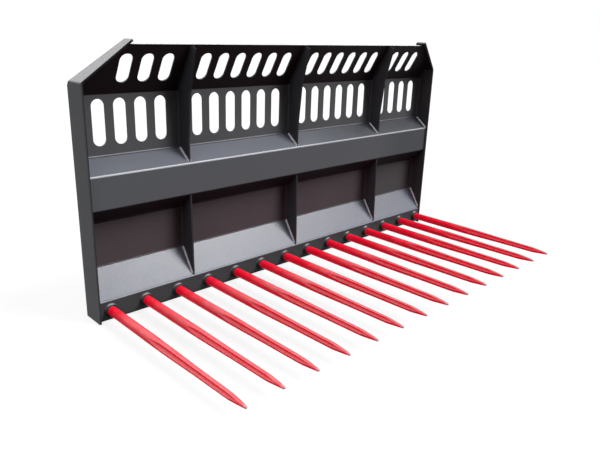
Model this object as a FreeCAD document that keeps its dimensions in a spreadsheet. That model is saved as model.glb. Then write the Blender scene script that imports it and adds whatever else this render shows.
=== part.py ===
# Loader silage fork: a folded and welded steel back frame, 2.4 m wide, with a
# slotted hood panel, a hat-section beam and fourteen forged tines in front.
# X runs along the width, the tines point to -Y, Z is up. The origin is at the
# floor, under the middle of the whole fork. The sizes that run forward and back
# are measured from the front face of the back panel, which stands behind it.
import FreeCAD
import Part
import Sketcher
import math
import os

# name, value in millimetres or degrees, what it is
SIZES = (
    ("inside_width", 2400, "clear width between the end plates"),
    ("end_thick", 10, "end plate thickness"),
    ("end_front", 94, "end plate edge in front of the panel face"),
    ("end_back", 30, "end plate edge behind the panel face"),
    ("end_straight", 1058, "height of the upright part of the end plate"),
    ("end_back_straight", 1040, "height where the rear edge starts to lean"),
    ("end_slope", 40, "angle of the folded top part to the floor"),
    ("end_run", 203, "sideways reach of the folded top part"),
    ("end_forward", 60, "how far the front edge leans forward at the top"),
    ("end_top_depth", 64, "depth of the end plate at its top"),
    ("end_bend", 6, "inside radius of the fold in the end plate"),
    ("panel_thick", 6, "panel sheet thickness"),
    ("panel_joint", 600, "height of the joint behind the beam"),
    ("bend_height", 1000, "height of the fold where the hood starts"),
    ("hood_lean", 30, "forward lean of the hood"),
    ("hood_length", 240, "length of the hood along its slope"),
    ("sheet_bend", 8, "inside radius of the fold in the panel"),
    ("slot_width", 60, "width of each slot"),
    ("slot_pitch", 100, "distance from slot to slot"),
    ("slot_low", 782, "lower end of the lower slots"),
    ("slot_length", 200, "length of the lower slots"),
    ("hood_slot_low", 55, "hood slots, from the fold to their lower end"),
    ("hood_slot_length", 140, "length of the hood slots"),
    ("beam_front", 84, "beam face in front of the panel face"),
    ("beam_low", 521, "lower edge of the beam face"),
    ("beam_high", 671, "upper edge of the beam face"),
    ("beam_rise", 66, "rise of the upper flange to the panel"),
    ("beam_drop", 76, "drop of the lower flange to the panel"),
    ("beam_thick", 6, "beam sheet thickness"),
    ("beam_bend", 6, "inside radius of the beam folds"),
    ("rib_place", 700, "outer ribs from the middle"),
    ("rib_thick", 8, "rib thickness"),
    ("rib_foot", 76, "upper rib depth on the beam"),
    ("rib_straight", 790, "height where the upper rib starts to widen"),
    ("rib_neck", 97, "upper rib depth at the panel fold"),
    ("rib_tip", 33, "upper rib depth at its top, square to the hood"),
    ("rib_set_in", 3, "upper rib top below the hood edge"),
    ("low_rib_top", 79, "lower rib depth under the beam"),
    ("low_rib_foot", 88, "lower rib depth on the tube"),
    ("shelf_high", 237, "height of the lower shelf at the panel"),
    ("shelf_foot", 85, "depth of the lower shelf on the tube"),
    ("shelf_thick", 5, "lower shelf sheet thickness"),
    ("tube_low", 6, "underside of the bottom tube"),
    ("tube_height", 100, "height of the bottom tube"),
    ("tube_front", 90, "tube face in front of the panel face"),
    ("tube_back", 30, "tube face behind the panel face"),
    ("tube_wall", 6, "tube wall thickness"),
    ("tube_corner", 10, "outside corner radius of the tube"),
    ("tine_edge", 49.5, "first tine from the end plate"),
    ("tine_height", 56, "tine axis above the floor"),
    ("tine_reach", 972, "tine tip in front of the tube face"),
    ("tine_size", 44, "tine diameter"),
    ("tine_taper_from", 260, "straight part of the tine in front of the tube"),
    ("tine_shoulder", 40, "tine diameter where the point starts"),
    ("tine_point", 282, "length of the point"),
    ("tine_tip", 9, "diameter of the blunt tip"),
    ("tine_tip_round", 3, "rounding of the blunt tip"),
    ("flute_radius", 13, "radius of the hollow flutes"),
    ("flute_core", 14.5, "tine axis to the bottom of a flute"),
    ("flute_start", 345, "flute start in front of the tube"),
    ("flute_runout", 110, "length of the flute run-in"),
    ("shank_end", 32, "shank diameter at the nut"),
    ("thread_size", 27, "thread diameter"),
    ("thread_end", 58, "thread end behind the panel face"),
    ("sleeve_size", 60, "sleeve diameter"),
    ("sleeve_front", 12, "sleeve in front of the tube"),
    ("sleeve_back", 4, "sleeve behind the tube"),
    ("sleeve_chamfer", 3, "chamfer of the sleeve mouth"),
    ("nut_flats", 41, "nut across flats"),
    ("nut_thick", 20, "nut thickness"),
    ("hitch_spacing", 1040, "distance between the hitch plates"),
    ("hitch_thick", 20, "hitch plate thickness"),
    ("hook_height", 620, "carrier bar axis above the floor"),
    ("hook_depth", 112, "carrier bar axis behind the panel face"),
    ("hook_bar", 50, "width of the hook mouth"),
    ("hook_crown", 85, "hook top above the bar axis"),
    ("hook_nose", 38, "hook wall behind the mouth"),
    ("hook_drop", 45, "hook nose below the bar axis"),
    ("hitch_round", 30, "corner rounding of the hitch plates"),
    ("pin_height", 225, "locking pin axis above the floor"),
    ("pin_depth", 120, "locking pin axis behind the panel face"),
    ("pin_size", 35, "locking pin hole diameter"),
    ("lug_reach", 45, "lug edge around the pin hole"),
    ("lug_spread", 110, "lug root above and below the pin hole"),
)
TINES = 14
SAME_SPOT = 0.01

# places that several pieces share
TUBE_TOP = "(Sizes.tube_low + Sizes.tube_height)"
SLOPE = "Sizes.end_slope"
FOLD_INSIDE = f"(Sizes.end_straight + Sizes.end_thick * (tan({SLOPE}) - 1 / cos({SLOPE})))"
END_RISE = f"(Sizes.end_run * tan({SLOPE}))"
HOOD_Y = "(-Sizes.hood_length * sin(Sizes.hood_lean))"
HOOD_Z = "(Sizes.bend_height + Sizes.hood_length * cos(Sizes.hood_lean))"
TINE_PITCH = f"((Sizes.inside_width - 2 * Sizes.tine_edge) / {TINES - 1})"
TINE_MOUTH = "(-Sizes.tube_front - Sizes.sleeve_front)"
SLEEVE_END = "(Sizes.tube_back + Sizes.sleeve_back)"
HOOK_NOSE = "(Sizes.hook_depth + Sizes.hook_bar / 2 + Sizes.hook_nose)"
PANEL_FACE = f"(Sizes.tube_front + Sizes.tine_reach - {HOOK_NOSE}) / 2"

doc = FreeCAD.newDocument("SilageFork")
sheet = doc.addObject("Spreadsheet::Sheet", "Sizes")


def fill_sheet():
    """Write each size in a row of its own and name its cell."""
    for row, (name, value, note) in enumerate(SIZES, 1):
        sheet.set(f"A{row}", name)
        sheet.set(f"B{row}", str(value))
        sheet.set(f"C{row}", note)
        sheet.setAlias(f"B{row}", name)
    doc.recompute()


def size(text):
    """Work out an expression in the sheet's names."""
    result = doc.Probe.evalExpression(text)
    return float(getattr(result, "Value", result))


# Sketches

def new_body(label):
    body = doc.addObject("PartDesign::Body", label)
    body.Label = label
    return body


def origin_part(body, role):
    return [item for item in body.Origin.OriginFeatures if item.Role == role][0]


def new_sketch(body, name, role):
    """Start a sketch on one of the body's own origin planes."""
    sketch = body.newObject("Sketcher::SketchObject", f"{body.Name}_{name}")
    sketch.AttachmentSupport = [(origin_part(body, role), "")]
    sketch.MapMode = "FlatFace"
    return sketch


def bind(sketch, constraint, text):
    """Add a constraint and tie its value to the sheet."""
    index = sketch.addConstraint(constraint)
    sketch.setExpression(f"Constraints[{index}]", text)


def pin(sketch, geometry, point, across, up):
    """Hold a point at two sizes measured from the sketch's origin."""
    for kind, text in (("DistanceX", across), ("DistanceY", up)):
        rule = Sketcher.Constraint(kind, -1, 1, geometry, point, size(text))
        bind(sketch, rule, text)


def outline(sketch, corners):
    """Draw a closed outline of straight lines through the corners."""
    spots = [FreeCAD.Vector(size(across), size(up), 0) for across, up in corners]
    count = len(spots)
    first = sketch.GeometryCount
    for k in range(count):
        sketch.addGeometry(Part.LineSegment(spots[k], spots[(k + 1) % count]))
    for k in range(count):
        after = first + (k + 1) % count
        sketch.addConstraint(Sketcher.Constraint("Coincident", first + k, 2, after, 1))
        pin(sketch, first + k, 1, *corners[k])
    return first


def slot(sketch, across, low, high, width):
    """Draw an upright slot with round ends."""
    x = size(across)
    r = size(width) / 2
    bottom_z = size(low) + r
    top_z = size(high) - r
    axis = FreeCAD.Vector(0, 0, 1)
    top = Part.Circle(FreeCAD.Vector(x, top_z, 0), axis, r)
    top = sketch.addGeometry(Part.ArcOfCircle(top, 0, math.pi))
    bottom = Part.Circle(FreeCAD.Vector(x, bottom_z, 0), axis, r)
    bottom = sketch.addGeometry(Part.ArcOfCircle(bottom, math.pi, 2 * math.pi))
    right = (FreeCAD.Vector(x + r, bottom_z, 0), FreeCAD.Vector(x + r, top_z, 0))
    right = sketch.addGeometry(Part.LineSegment(*right))
    left = (FreeCAD.Vector(x - r, top_z, 0), FreeCAD.Vector(x - r, bottom_z, 0))
    left = sketch.addGeometry(Part.LineSegment(*left))
    for arc, arc_end, line, line_end in (
        (top, 1, right, 2),
        (top, 2, left, 1),
        (bottom, 1, left, 2),
        (bottom, 2, right, 1),
    ):
        sketch.addConstraint(Sketcher.Constraint("Tangent", arc, arc_end, line, line_end))
    sketch.addConstraint(Sketcher.Constraint("Equal", top, bottom))
    bind(sketch, Sketcher.Constraint("Radius", top, r), f"{width} / 2")
    pin(sketch, top, 3, across, f"{high} - {width} / 2")
    pin(sketch, bottom, 3, across, f"{low} + {width} / 2")


def circle(sketch, across, up, diameter):
    spot = FreeCAD.Vector(size(across), size(up), 0)
    shape = Part.Circle(spot, FreeCAD.Vector(0, 0, 1), size(diameter) / 2)
    index = sketch.addGeometry(shape)
    bind(sketch, Sketcher.Constraint("Radius", index, shape.Radius), f"{diameter} / 2")
    pin(sketch, index, 3, across, up)


def smooth_arc(sketch, line, last):
    """Close an outline with an arc that leaves the line's start without a corner."""
    near = sketch.Geometry[line].StartPoint
    far = sketch.Geometry[last].EndPoint
    heading = (near - sketch.Geometry[line].EndPoint).normalize()
    across = FreeCAD.Vector(-heading.y, heading.x, 0)
    reach = far - near
    radius = reach.Length ** 2 / (2 * reach.dot(across))
    centre = near + across * radius
    angles = [math.atan2(spot.y - centre.y, spot.x - centre.x) for spot in (near, far)]
    near_end, far_end = 1, 2
    if (angles[1] - angles[0]) % (2 * math.pi) > math.pi:
        angles.reverse()
        near_end, far_end = far_end, near_end
    curve = Part.Circle(centre, FreeCAD.Vector(0, 0, 1), abs(radius))
    arc = sketch.addGeometry(Part.ArcOfCircle(curve, *angles))
    sketch.addConstraint(Sketcher.Constraint("Tangent", arc, near_end, line, 1))
    sketch.addConstraint(Sketcher.Constraint("Coincident", arc, far_end, last, 2))


# Features

def pad(body, sketch, length, back=None):
    """Thicken a sketch evenly to both sides, or by two lengths of its own."""
    feature = body.newObject("PartDesign::Pad", f"{body.Name}_Pad")
    feature.Profile = sketch
    feature.SideType = "Two sides" if back else "Symmetric"
    feature.setExpression("Length", length)
    if back:
        feature.setExpression("Length2", back)
    doc.recompute()
    return feature


def cut(body, sketch, length=None):
    """Cut a sketch to both sides of its plane, right through or for a length."""
    before = body.Shape.Volume
    feature = body.newObject("PartDesign::Pocket", f"{body.Name}_Cut")
    feature.Profile = sketch
    feature.SideType = "Symmetric"
    feature.Type = "Length" if length else "ThroughAll"
    if length:
        feature.setExpression("Length", length)
    doc.recompute()
    if body.Shape.Volume >= before:
        raise RuntimeError(f"{feature.Label} cuts nothing")
    return feature


def repeat(body, feature, sketch, count, pitch):
    """Repeat a feature along the sketch's own level axis."""
    pattern = body.newObject("PartDesign::LinearPattern", f"{body.Name}_Row")
    pattern.Originals = [feature]
    pattern.Direction = (sketch, ["H_Axis"])
    pattern.setExpression("Length", f"{count - 1} * {pitch}")
    pattern.Occurrences = count
    body.Tip = pattern
    doc.recompute()


def edges_along(body, axis, spots):
    """Name the edges that run along X or Y through the given spots."""
    keep = {"X": (1, 2), "Y": (0, 2)}[axis]
    wanted = [(size(across), size(up)) for across, up in spots]
    names = []
    for number, edge in enumerate(body.Shape.Edges, 1):
        ends = [(p.Point[keep[0]], p.Point[keep[1]]) for p in edge.Vertexes]
        if any(all(math.dist(end, spot) < SAME_SPOT for end in ends) for spot in wanted):
            names.append(f"Edge{number}")
    return names


def round_edges(body, base, axis, spots, radius):
    """Round the edges that run along X or Y through the given spots."""
    feature = body.newObject("PartDesign::Fillet", f"{body.Name}_Round")
    feature.Base = (base, edges_along(body, axis, spots))
    feature.setExpression("Radius", radius)
    doc.recompute()
    return feature


# End plates

def end_plate(label, side):
    """Bent plate: upright, then folded inwards along the slope of the hood."""
    body = new_body(label)
    outer = "(Sizes.inside_width / 2 + Sizes.end_thick)"
    top = f"(Sizes.end_straight + {END_RISE})"
    fold = (f"{side} * {outer}", "Sizes.end_straight")
    inner_fold = (f"{side} * Sizes.inside_width / 2", FOLD_INSIDE)
    section = new_sketch(body, "Section", "XZ_Plane")
    outline(section, (
        (f"{side} * {outer}", "0"),
        fold,
        (f"{side} * ({outer} - Sizes.end_run)", top),
        (
            f"{side} * ({outer} - Sizes.end_run - Sizes.end_thick * sin({SLOPE}))",
            f"{top} - Sizes.end_thick * cos({SLOPE})",
        ),
        inner_fold,
        (f"{side} * Sizes.inside_width / 2", "0"),
    ))
    plate = pad(body, section, "2 * (Sizes.end_front + Sizes.end_forward)", "2 * Sizes.end_back")
    bend = round_edges(body, plate, "Y", [fold], "Sizes.end_bend + Sizes.end_thick")
    round_edges(body, bend, "Y", [inner_fold], "Sizes.end_bend")
    cut(body, end_side_sketch(body, top))
    return body


def end_side_sketch(body, top):
    """Side view of the end plate, inside a frame of the metal to take away."""
    front = "-Sizes.end_front"
    back = "Sizes.end_back"
    back_lean = "(Sizes.end_back + Sizes.end_front + Sizes.end_forward - Sizes.end_top_depth)"
    back_rise = f"({top} - Sizes.end_back_straight)"
    sketch = new_sketch(body, "Side", "YZ_Plane")
    outline(sketch, (
        (front, "-Sizes.end_thick"),
        (front, "Sizes.end_straight"),
        (f"{front} - 1.2 * Sizes.end_forward", f"Sizes.end_straight + 1.2 * {END_RISE}"),
        (f"{back} - 1.2 * {back_lean}", f"Sizes.end_back_straight + 1.2 * {back_rise}"),
        (back, "Sizes.end_back_straight"),
        (back, "-Sizes.end_thick"),
    ))
    around = ("-3 * (Sizes.end_front + Sizes.end_forward)", "3 * Sizes.end_back")
    over = ("-2 * Sizes.end_thick", "2 * Sizes.end_straight")
    outline(sketch, [(around[i], over[j]) for i, j in ((0, 0), (0, 1), (1, 1), (1, 0))])
    return sketch


# Panels

def upper_panel():
    """Slotted sheet: upright above the joint, with a hood that leans forward."""
    body = new_body("slotted_panel")
    thick = "Sizes.panel_thick"
    lean = "Sizes.hood_lean"
    fold_back = f"(Sizes.bend_height + {thick} * tan({lean} / 2))"
    section = new_sketch(body, "Section", "YZ_Plane")
    outline(section, (
        ("0", "Sizes.panel_joint"),
        ("0", "Sizes.bend_height"),
        (HOOD_Y, HOOD_Z),
        (f"{HOOD_Y} + {thick} * cos({lean})", f"{HOOD_Z} + {thick} * sin({lean})"),
        (thick, fold_back),
        (thick, "Sizes.panel_joint"),
    ))
    sheet_metal = pad(body, section, "Sizes.inside_width")
    bend = round_edges(body, sheet_metal, "X", [("0", "Sizes.bend_height")], "Sizes.sheet_bend")
    round_edges(body, bend, "X", [(thick, fold_back)], f"Sizes.sheet_bend + {thick}")
    for side in (-1, 1):
        cut(body, hood_corner_sketch(body, side))
    for row in slot_rows():
        slot_row(body, *row)
    return body


def hood_corner_sketch(body, side):
    """Corner of the hood, trimmed to the inside of the folded end plate."""
    edge = "Sizes.inside_width / 2"
    top = f"{FOLD_INSIDE} + 1.3 * {END_RISE}"
    sketch = new_sketch(body, "Corner", "XZ_Plane")
    outline(sketch, (
        (f"{side} * {edge}", FOLD_INSIDE),
        (f"{side} * ({edge} - 1.3 * Sizes.end_run)", top),
        (f"{side} * ({edge} + Sizes.end_thick)", top),
        (f"{side} * ({edge} + Sizes.end_thick)", FOLD_INSIDE),
    ))
    return sketch


def slot_rows():
    """First slot, number of slots and hood or not, for each bay from the left."""
    pitch = "Sizes.slot_pitch"
    end_bay = "(Sizes.inside_width / 2 + Sizes.rib_place) / 2"
    mid_bay = "Sizes.rib_place / 2"
    return (
        (f"-{end_bay} - 1.5 * {pitch}", 4, False),
        (f"-{mid_bay} - 2.5 * {pitch}", 6, False),
        (f"{mid_bay} - 2.5 * {pitch}", 6, False),
        (f"{end_bay} - 1.5 * {pitch}", 4, False),
        (f"-{end_bay} - 0.5 * {pitch}", 3, True),
        (f"-{mid_bay} - 2.5 * {pitch}", 6, True),
        (f"{mid_bay} - 2.5 * {pitch}", 6, True),
        (f"{end_bay} - 1.5 * {pitch}", 3, True),
    )


def slot_row(body, first, count, on_hood):
    low = "Sizes.hood_slot_low" if on_hood else "Sizes.slot_low"
    length = "Sizes.hood_slot_length" if on_hood else "Sizes.slot_length"
    sketch = new_sketch(body, "Slot", "XZ_Plane")
    if on_hood:
        tilt = FreeCAD.Rotation(FreeCAD.Vector(1, 0, 0), size("Sizes.hood_lean"))
        fold = FreeCAD.Vector(0, size("Sizes.bend_height"), 0)
        sketch.AttachmentOffset = FreeCAD.Placement(fold, tilt)
        sketch.setExpression("AttachmentOffset.Base.y", "Sizes.bend_height")
        sketch.setExpression("AttachmentOffset.Rotation.Angle", "Sizes.hood_lean")
    slot(sketch, first, low, f"({low} + {length})", "Sizes.slot_width")
    hole = cut(body, sketch, "4 * Sizes.panel_thick")
    repeat(body, hole, sketch, count, "Sizes.slot_pitch")


def lower_panel():
    body = new_body("lower_panel")
    section = new_sketch(body, "Section", "YZ_Plane")
    outline(section, (
        ("0", TUBE_TOP),
        ("0", "Sizes.panel_joint"),
        ("Sizes.panel_thick", "Sizes.panel_joint"),
        ("Sizes.panel_thick", TUBE_TOP),
    ))
    pad(body, section, "Sizes.inside_width")
    return body


# Beam and tube

def beam():
    """Folded hat section: an upright face between two sloping flanges."""
    body = new_body("mid_beam")
    face = "-Sizes.beam_front"
    inside = f"({face} + Sizes.beam_thick)"
    foot = "(Sizes.beam_low - Sizes.beam_drop)"
    head = "(Sizes.beam_high + Sizes.beam_rise)"
    low_wall = "Sizes.beam_thick / cos(atan(Sizes.beam_drop / Sizes.beam_front))"
    high_wall = "Sizes.beam_thick / cos(atan(Sizes.beam_rise / Sizes.beam_front))"
    low_fold = f"{foot} + Sizes.beam_drop * (1 - Sizes.beam_thick / Sizes.beam_front) + {low_wall}"
    high_fold = f"{head} - Sizes.beam_rise * (1 - Sizes.beam_thick / Sizes.beam_front) - {high_wall}"
    section = new_sketch(body, "Section", "YZ_Plane")
    outline(section, (
        ("0", foot),
        (face, "Sizes.beam_low"),
        (face, "Sizes.beam_high"),
        ("0", head),
        ("0", f"{head} - {high_wall}"),
        (inside, high_fold),
        (inside, low_fold),
        ("0", f"{foot} + {low_wall}"),
    ))
    base = pad(body, section, "Sizes.inside_width")
    folds = [(face, "Sizes.beam_low"), (face, "Sizes.beam_high")]
    base = round_edges(body, base, "X", folds, "Sizes.beam_bend + Sizes.beam_thick")
    round_edges(body, base, "X", [(inside, low_fold), (inside, high_fold)], "Sizes.beam_bend")
    return body


def tube():
    """Rectangular tube with a row of holes for the tine sleeves."""
    body = new_body("bottom_tube")
    wall = "Sizes.tube_wall"
    outside = box_corners("-Sizes.tube_front", "Sizes.tube_back", "Sizes.tube_low", TUBE_TOP)
    inside = box_corners(
        f"-Sizes.tube_front + {wall}",
        f"Sizes.tube_back - {wall}",
        f"Sizes.tube_low + {wall}",
        f"{TUBE_TOP} - {wall}",
    )
    section = new_sketch(body, "Section", "YZ_Plane")
    outline(section, outside)
    outline(section, inside)
    base = pad(body, section, "Sizes.inside_width")
    base = round_edges(body, base, "X", outside, "Sizes.tube_corner")
    round_edges(body, base, "X", inside, f"Sizes.tube_corner - {wall}")
    holes = new_sketch(body, "Holes", "XZ_Plane")
    circle(holes, f"-6.5 * {TINE_PITCH}", "Sizes.tine_height", "Sizes.sleeve_size")
    repeat(body, cut(body, holes), holes, TINES, TINE_PITCH)
    return body


def box_corners(front, back, low, high):
    return [(front, low), (front, high), (back, high), (back, low)]


# Ribs and shelves

def upper_rib(label, place):
    """Rib on the beam, up the panel and under the hood, cut square at its top."""
    body = new_body(label)
    reach = "(Sizes.hood_length - Sizes.rib_set_in)"
    lean = "Sizes.hood_lean"
    top_y = f"-{reach} * sin({lean})"
    top_z = f"Sizes.bend_height + {reach} * cos({lean})"
    rise = "Sizes.beam_rise * (1 - Sizes.rib_foot / Sizes.beam_front)"
    section = new_sketch(body, "Section", "YZ_Plane")
    outline(section, (
        ("0", "Sizes.beam_high + Sizes.beam_rise"),
        ("0", "Sizes.bend_height"),
        (top_y, top_z),
        (f"{top_y} - Sizes.rib_tip * cos({lean})", f"{top_z} - Sizes.rib_tip * sin({lean})"),
        ("-Sizes.rib_neck", "Sizes.bend_height"),
        ("-Sizes.rib_foot", "Sizes.rib_straight"),
        ("-Sizes.rib_foot", f"Sizes.beam_high + {rise}"),
    ))
    base = pad(body, section, "Sizes.rib_thick")
    round_edges(body, base, "X", [("0", "Sizes.bend_height")], "Sizes.sheet_bend")
    body.setExpression("Placement.Base.x", place)
    return body


def lower_rib(label, place):
    """Rib from the tube, up the panel to the underside of the beam."""
    body = new_body(label)
    foot = "(Sizes.beam_low - Sizes.beam_drop)"
    section = new_sketch(body, "Section", "YZ_Plane")
    outline(section, (
        ("0", TUBE_TOP),
        ("0", foot),
        ("-Sizes.low_rib_top", f"{foot} + Sizes.beam_drop * Sizes.low_rib_top / Sizes.beam_front"),
        ("-Sizes.low_rib_foot", TUBE_TOP),
    ))
    pad(body, section, "Sizes.rib_thick")
    body.setExpression("Placement.Base.x", place)
    return body


def lower_shelf(label, left, right):
    """Sloping sheet of one bay, from the panel down to the front of the tube."""
    body = new_body(label)
    angle = f"atan((Sizes.shelf_high - {TUBE_TOP}) / Sizes.shelf_foot)"
    section = new_sketch(body, "Section", "YZ_Plane")
    outline(section, (
        ("0", "Sizes.shelf_high"),
        ("-Sizes.shelf_foot", TUBE_TOP),
        (f"-Sizes.shelf_foot + Sizes.shelf_thick / sin({angle})", TUBE_TOP),
        ("0", f"Sizes.shelf_high - Sizes.shelf_thick / cos({angle})"),
    ))
    pad(body, section, f"{right} - ({left})")
    body.setExpression("Placement.Base.x", f"({left} + {right}) / 2")
    return body


def ribs_and_shelves():
    """Three ribs above and below the beam, and one shelf in each bay."""
    places = ("-Sizes.rib_place", "0 * Sizes.rib_place", "Sizes.rib_place")
    pieces = []
    for number, place in enumerate(places, 1):
        pieces.append(upper_rib(f"upper_rib_{number}", place))
        pieces.append(lower_rib(f"lower_rib_{number}", place))
    lefts = ["-Sizes.inside_width / 2"] + [f"({place} + Sizes.rib_thick / 2)" for place in places]
    rights = [f"({place} - Sizes.rib_thick / 2)" for place in places] + ["Sizes.inside_width / 2"]
    for number, (left, right) in enumerate(zip(lefts, rights), 1):
        pieces.append(lower_shelf(f"lower_shelf_{number}", left, right))
    return pieces


# Tines

def tine_place(index):
    return f"({index} - {(TINES - 1) / 2}) * {TINE_PITCH}"


def stand_at_tine(item, index):
    item.setExpression("Placement.Base.x", tine_place(index))
    item.setExpression("Placement.Base.z", "Sizes.tine_height")


def sleeve(index):
    """Weld-in sleeve through the tube, with the taper of the tine's shank."""
    body = new_body(f"sleeve_{index + 1:02d}")
    outside = "Sizes.sleeve_size / 2"
    section = new_sketch(body, "Section", "XY_Plane")
    outline(section, (
        ("Sizes.tine_size / 2", TINE_MOUTH),
        (f"{outside} - Sizes.sleeve_chamfer", TINE_MOUTH),
        (outside, f"{TINE_MOUTH} + Sizes.sleeve_chamfer"),
        (outside, SLEEVE_END),
        ("Sizes.shank_end / 2", SLEEVE_END),
    ))
    turn(body, section)
    stand_at_tine(body, index)
    return body


def turn(body, section, axis="V_Axis"):
    feature = body.newObject("PartDesign::Revolution", f"{body.Name}_Turn")
    feature.Profile = section
    feature.ReferenceAxis = (section, [axis])
    feature.Angle = 360
    doc.recompute()
    return feature


def tine(index):
    """Forged tine: tapered shank, round root, three hollow flutes and a point."""
    body = new_body(f"tine_{index + 1:02d}")
    section = new_sketch(body, "Section", "YZ_Plane")
    tine_section(section)
    blank = turn(body, section, "H_Axis")
    tip = "-Sizes.tube_front - Sizes.tine_reach"
    round_tip(body, blank, size(tip))
    flute = new_sketch(body, "Flute", "YZ_Plane")
    flute_section(flute)
    groove = body.newObject("PartDesign::Groove", f"{body.Name}_Flute")
    groove.Profile = flute
    groove.ReferenceAxis = (flute, ["Axis0"])
    groove.Angle = 360
    doc.recompute()
    around = body.newObject("PartDesign::PolarPattern", f"{body.Name}_Flutes")
    around.Originals = [groove]
    around.Axis = (origin_part(body, "Y_Axis"), [""])
    around.Angle = 360
    around.Occurrences = 3
    body.Tip = around
    stand_at_tine(body, index)
    doc.recompute()
    if body.Shape.Volume >= blank.Shape.Volume:
        raise RuntimeError(f"{body.Label} has no flutes")
    return body


def tine_section(sketch):
    """Lower half of the tine's outline, from the tip back to the thread.

    Turned from below, the skin has its seam inside the first flute, so the
    round lands between the flutes stay whole.
    """
    tip = "(-Sizes.tube_front - Sizes.tine_reach)"
    root = "-Sizes.tine_size / 2"
    thread = "-Sizes.thread_size / 2"
    corners = (
        (f"{tip} + Sizes.tine_point", "-Sizes.tine_shoulder / 2"),
        ("-Sizes.tube_front - Sizes.tine_taper_from", root),
        (TINE_MOUTH, root),
        (SLEEVE_END, "-Sizes.shank_end / 2"),
        (SLEEVE_END, thread),
        ("Sizes.thread_end", thread),
        ("Sizes.thread_end", "0 * Sizes.tine_size"),
        (tip, "0 * Sizes.tine_size"),
        (tip, "-Sizes.tine_tip / 2"),
    )
    spots = [FreeCAD.Vector(size(across), size(up), 0) for across, up in corners]
    for k in range(len(spots) - 1):
        sketch.addGeometry(Part.LineSegment(spots[k], spots[k + 1]))
    for k, corner in enumerate(corners[:-1]):
        pin(sketch, k, 1, *corner)
    for k in range(len(spots) - 2):
        sketch.addConstraint(Sketcher.Constraint("Coincident", k, 2, k + 1, 1))
    last = len(spots) - 2
    pin(sketch, last, 2, *corners[-1])
    smooth_arc(sketch, 0, last)


def round_tip(body, base, tip):
    """Round the edge of the blunt tip."""
    names = []
    for number, edge in enumerate(base.Shape.Edges, 1):
        box = edge.BoundBox
        if box.XLength > 1 and max(abs(box.YMin - tip), abs(box.YMax - tip)) < SAME_SPOT:
            names.append(f"Edge{number}")
    feature = body.newObject("PartDesign::Fillet", f"{body.Name}_Tip")
    feature.Base = (base, names)
    feature.setExpression("Radius", "Sizes.tine_tip_round")
    doc.recompute()


def flute_section(sketch):
    """Half of the cutter that hollows a flute, turned about its own axis.

    It is the half away from the tine, so its seam leaves no edge in the flute.
    """
    axis = "(-Sizes.flute_core - Sizes.flute_radius)"
    start = "(-Sizes.tube_front - Sizes.flute_start)"
    full = f"({start} - Sizes.flute_runout)"
    end = "(-Sizes.tube_front - 1.1 * Sizes.tine_reach)"
    skin = "(Sizes.flute_core + Sizes.flute_radius - Sizes.tine_size / 2 - 0.5)"
    centre = Part.LineSegment(
        FreeCAD.Vector(size(start), size(axis), 0),
        FreeCAD.Vector(size(end), size(axis), 0),
    )
    sketch.addGeometry(centre, True)
    corners = (
        (full, f"{axis} - Sizes.flute_radius"),
        (end, f"{axis} - Sizes.flute_radius"),
        (end, axis),
        (start, axis),
        (start, f"{axis} - {skin}"),
    )
    spots = [FreeCAD.Vector(size(across), size(up), 0) for across, up in corners]
    for k in range(4):
        sketch.addGeometry(Part.LineSegment(spots[k], spots[k + 1]))
        pin(sketch, k + 1, 1, *corners[k])
    for k in range(1, 4):
        sketch.addConstraint(Sketcher.Constraint("Coincident", k, 2, k + 1, 1))
    pin(sketch, 4, 2, *corners[4])
    sketch.addConstraint(Sketcher.Constraint("Coincident", 0, 1, 4, 1))
    sketch.addConstraint(Sketcher.Constraint("Coincident", 0, 2, 3, 1))
    smooth_arc(sketch, 1, 4)


def nuts():
    """Row of hexagon nuts behind the sleeves, each with its bore."""
    blocks = []
    bores = []
    lie_back = FreeCAD.Rotation(FreeCAD.Vector(1, 0, 0), -90)
    for index in range(TINES):
        block = doc.addObject("Part::Prism", f"nut_block_{index + 1:02d}")
        block.Polygon = 6
        block.setExpression("Circumradius", "Sizes.nut_flats / 2 / cos(30)")
        block.setExpression("Height", "Sizes.nut_thick")
        bore = doc.addObject("Part::Cylinder", f"nut_bore_{index + 1:02d}")
        bore.setExpression("Radius", "Sizes.thread_size / 2")
        bore.setExpression("Height", "Sizes.nut_thick")
        for item in (block, bore):
            item.Placement = FreeCAD.Placement(FreeCAD.Vector(0, 0, 0), lie_back)
            item.setExpression("Placement.Base.y", SLEEVE_END)
            stand_at_tine(item, index)
        blocks.append(block)
        bores.append(bore)
    block_row = doc.addObject("Part::Compound", "nut_blocks")
    block_row.Links = blocks
    bore_row = doc.addObject("Part::Compound", "nut_bores")
    bore_row.Links = bores
    row = doc.addObject("Part::Cut", "tine_nuts")
    row.Label = "tine_nuts"
    row.Base = block_row
    row.Tool = bore_row
    return row


# Hitch plates

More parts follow.
